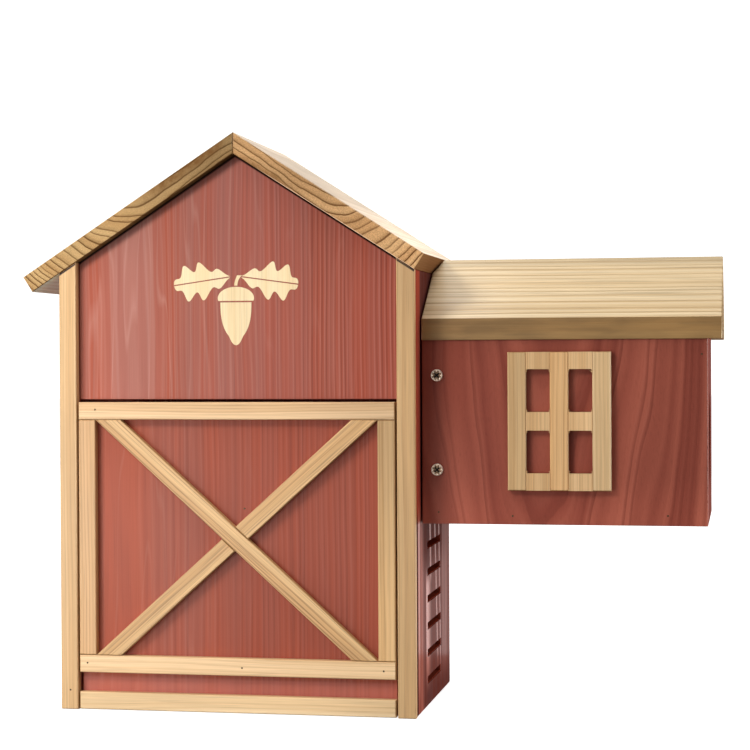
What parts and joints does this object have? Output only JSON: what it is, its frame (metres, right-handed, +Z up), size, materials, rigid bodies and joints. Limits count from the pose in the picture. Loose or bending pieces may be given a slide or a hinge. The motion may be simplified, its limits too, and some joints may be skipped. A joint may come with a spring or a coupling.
{
  "type": "squirrel house",
  "caption": "Barn-shaped wooden squirrel house with a swing-up front door, a gabled roof and a small gabled side annex with a round doorway.",
  "frame": {"origin": "centre of the main body's base, between the side walls and between the front strips' faces and the back wall's rear face", "axes": "+X to the right towards the annex, +Y from the door towards the back, +Z up"},
  "size_m": [0.5467, 0.176, 0.4533],
  "materials": {
    "natural_wood": "clear-coated honey-coloured softwood, satin",
    "roof_wood": "scorched softwood with dark growth rings, satin",
    "annex_roof_wood": "brushed pale softwood with raised straight grain, satin",
    "red_stained_wood": "barn-red stained softwood, grain showing through, satin",
    "inner_wood": "plain planed softwood",
    "fixing_metal": "yellow zinc-plated steel"
  },
  "bodies": {
    "house": {"left_wall": "red_stained_wood", "right_wall": "red_stained_wood", "back_wall": "red_stained_wood", "gable_panel": "red_stained_wood", "floor": "inner_wood", "left_corner_trim": "natural_wood", "right_corner_trim": "natural_wood", "roof_left": "roof_wood", "roof_right": "roof_wood", "pivot_pin_left": "fixing_metal", "pivot_pin_right": "fixing_metal", "annex_front_wall": "red_stained_wood", "annex_back_wall": "red_stained_wood", "annex_end_wall": "red_stained_wood", "annex_floor": "inner_wood", "annex_roof_front": "annex_roof_wood", "annex_roof_back": "annex_roof_wood", "annex_cleat_front": "inner_wood", "annex_cleat_back": "inner_wood", "annex_screw_front_lower": "fixing_metal", "annex_screw_front_upper": "fixing_metal", "annex_screw_back_lower": "fixing_metal", "annex_screw_back_upper": "fixing_metal", "window_left_stile": "natural_wood", "window_mullion": "natural_wood", "window_right_stile": "natural_wood", "window_lower_rail_left": "natural_wood", "window_middle_rail_left": "natural_wood", "window_upper_rail_left": "natural_wood", "window_lower_rail_right": "natural_wood", "window_middle_rail_right": "natural_wood", "window_upper_rail_right": "natural_wood"},
    "door": {"door_panel": "red_stained_wood", "door_top_rail": "natural_wood", "door_lower_rail": "natural_wood", "door_base_rail": "natural_wood", "door_left_stile": "natural_wood", "door_right_stile": "natural_wood", "door_brace_long": "natural_wood", "door_brace_upper": "natural_wood", "door_brace_lower": "natural_wood"}
  },
  "joints": [
    {"name": "door_swing", "type": "hinge", "parent": "house", "child": "door", "pos_m": [0, -0.0762, 0.19407], "axis": [-1, 0, 0], "range_deg": [0, 150]}
  ]
}
